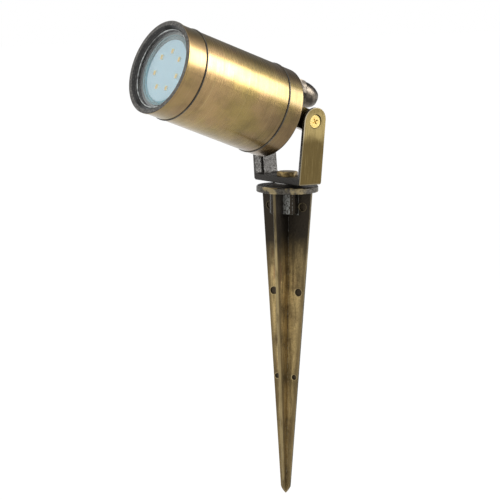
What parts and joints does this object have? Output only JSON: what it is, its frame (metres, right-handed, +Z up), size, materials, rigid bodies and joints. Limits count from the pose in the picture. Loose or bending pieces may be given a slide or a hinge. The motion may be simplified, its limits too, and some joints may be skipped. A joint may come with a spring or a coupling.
{
  "type": "garden spike spotlight",
  "caption": "Outdoor spotlight in antique brass: a cylindrical lamp head that tilts in a U-bracket, which swivels on a ground spike.",
  "frame": {"origin": "centre of the spike's flange on its underside, which is the level of the ground", "axes": "+Z up out of the ground along the spike, -Y the way the beam heads, X along the line that the head tilts about"},
  "size_m": [0.0672, 0.1445, 0.3425],
  "materials": {
    "cast_brass": "rough sand-cast brass, dark patina at the top, worn edges",
    "bolt_brass": "aged brass",
    "fibre": "matte black fibre",
    "steel": "plain zinc-plated steel",
    "bracket_brass": "brushed antique brass outside, dark cast inside",
    "screw_brass": "bright brass",
    "cap_brass": "circumferentially brushed antique brass",
    "tube_brass": "circumferentially brushed antique brass",
    "bezel_brass": "brushed antique brass with a dark bronze front lip",
    "rubber": "matte black silicone rubber",
    "clear_glass": "clear toughened glass",
    "ring_metal": "turned grey aluminium",
    "lamp_body": "white lamp body",
    "lamp_cover": "clear lamp cover",
    "board_white": "white solder mask",
    "led_yellow": "yellow phosphor",
    "holder_ceramic": "unglazed ceramic",
    "terminal_plastic": "natural plastic",
    "gland_bronze": "dark bronze"
  },
  "bodies": {
    "spike": {"spike": "cast_brass", "swivel_bolt": "bolt_brass", "fibre_washer": "fibre", "steel_washer": "steel"},
    "bracket": {"bracket": "bracket_brass"},
    "head": {"tilt_screws": "screw_brass", "tilt_washers": "fibre", "rear_cap": "cap_brass", "rear_seal": "rubber", "body_tube": "tube_brass", "front_seal": "rubber", "bezel": "bezel_brass", "lens": "clear_glass", "lens_gasket": "rubber", "retaining_ring": "ring_metal", "lamp_shell": "lamp_body", "lamp_cover": "lamp_cover", "led_board": "board_white", "led_chips": "led_yellow", "lamp_pins": "steel", "lampholder": "holder_ceramic", "holder_strap": "steel", "holder_screws": "steel", "strap_screws": "steel", "earth_screw": "screw_brass", "terminal_block": "terminal_plastic", "gland_body": "gland_bronze", "gland_ring": "rubber", "gland_nut": "gland_bronze", "gland_seal": "rubber"}
  },
  "joints": [
    {"name": "swivel", "type": "hinge", "parent": "spike", "child": "bracket", "pos_m": [0, 0, 0.0066], "axis": [0, 0, 1], "continuous": true},
    {"name": "tilt", "type": "hinge", "parent": "bracket", "child": "head", "pos_m": [0, 0, 0.0518], "axis": [-1, 0, 0], "range_deg": [-30, 170]}
  ]
}
